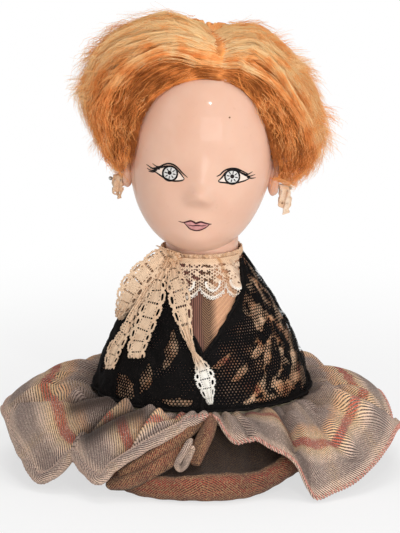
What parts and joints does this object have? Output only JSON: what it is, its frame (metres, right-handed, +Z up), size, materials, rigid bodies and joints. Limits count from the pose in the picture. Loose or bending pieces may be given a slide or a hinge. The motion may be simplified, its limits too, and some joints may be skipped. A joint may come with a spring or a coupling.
{
  "type": "folk costume doll",
  "caption": "Half-figure costume doll with a moulded head that turns on its neck, a mohair wig, swinging lace earrings, a lace shawl over a stuffed dome and a gathered skirt on a flat base.",
  "frame": {"origin": "middle of the felt base where it stands on the table", "axes": "+Z up along the neck post, the doll faces -Y, +X is the doll's left and the viewer's right"},
  "size_m": [0.2311, 0.2113, 0.266],
  "materials": {
    "felt": "brown felt",
    "board": "stiff card",
    "wadding": "packed wadding",
    "calico": "plain cotton",
    "pale_wood": "bare",
    "steel": "plain",
    "brass": "plain",
    "copper_cloth": "satin weave",
    "brown_net": "pleated net",
    "cream_lace": "cotton lace",
    "black_lace": "floral lace",
    "plaid_wool": "wool twill",
    "skin_plastic": "glossy",
    "wig_cloth": "cotton",
    "mohair": "brushed mohair"
  },
  "bodies": {
    "body": {"base_cover": "felt", "base_board": "board", "body_core": "wadding", "body_bag": "calico", "neck_post": "pale_wood", "neck_seat": "pale_wood", "post_washer": "steel", "post_screw": "brass", "underbodice": "copper_cloth", "dickey": "brown_net", "lace_collar": "cream_lace", "lace_shawl": "black_lace", "neck_ribbon": "cream_lace", "ribbon_knot": "cream_lace", "ribbon_loop": "cream_lace", "ribbon_tail_left": "cream_lace", "ribbon_tail_middle": "cream_lace", "ribbon_tail_right": "cream_lace", "skirt_flounce": "plaid_wool", "underskirt": "plaid_wool", "waist_tape": "calico"},
    "head": {"head_front_shell": "skin_plastic", "head_back_shell": "skin_plastic", "neck_plug": "pale_wood", "wig_cap": "wig_cloth", "mohair_left": "mohair", "mohair_right": "mohair", "mohair_back": "mohair", "earring_pin_left": "steel", "earring_pin_right": "steel"},
    "left_earring": {"earring_left": "cream_lace"},
    "right_earring": {"earring_right": "cream_lace"}
  },
  "joints": [
    {"name": "neck_swivel", "type": "hinge", "parent": "body", "child": "head", "pos_m": [0, 0, 0.12], "axis": [0, 0, 1], "range_deg": [-60, 60]},
    {"name": "earring_left_swing", "type": "hinge", "parent": "head", "child": "left_earring", "pos_m": [-0.0493, 0, 0.16892], "axis": [1, 0, 0], "range_deg": [-40, 40]},
    {"name": "earring_right_swing", "type": "hinge", "parent": "head", "child": "right_earring", "pos_m": [0.0474, 0, 0.16321], "axis": [1, 0, 0], "range_deg": [-40, 40]}
  ]
}
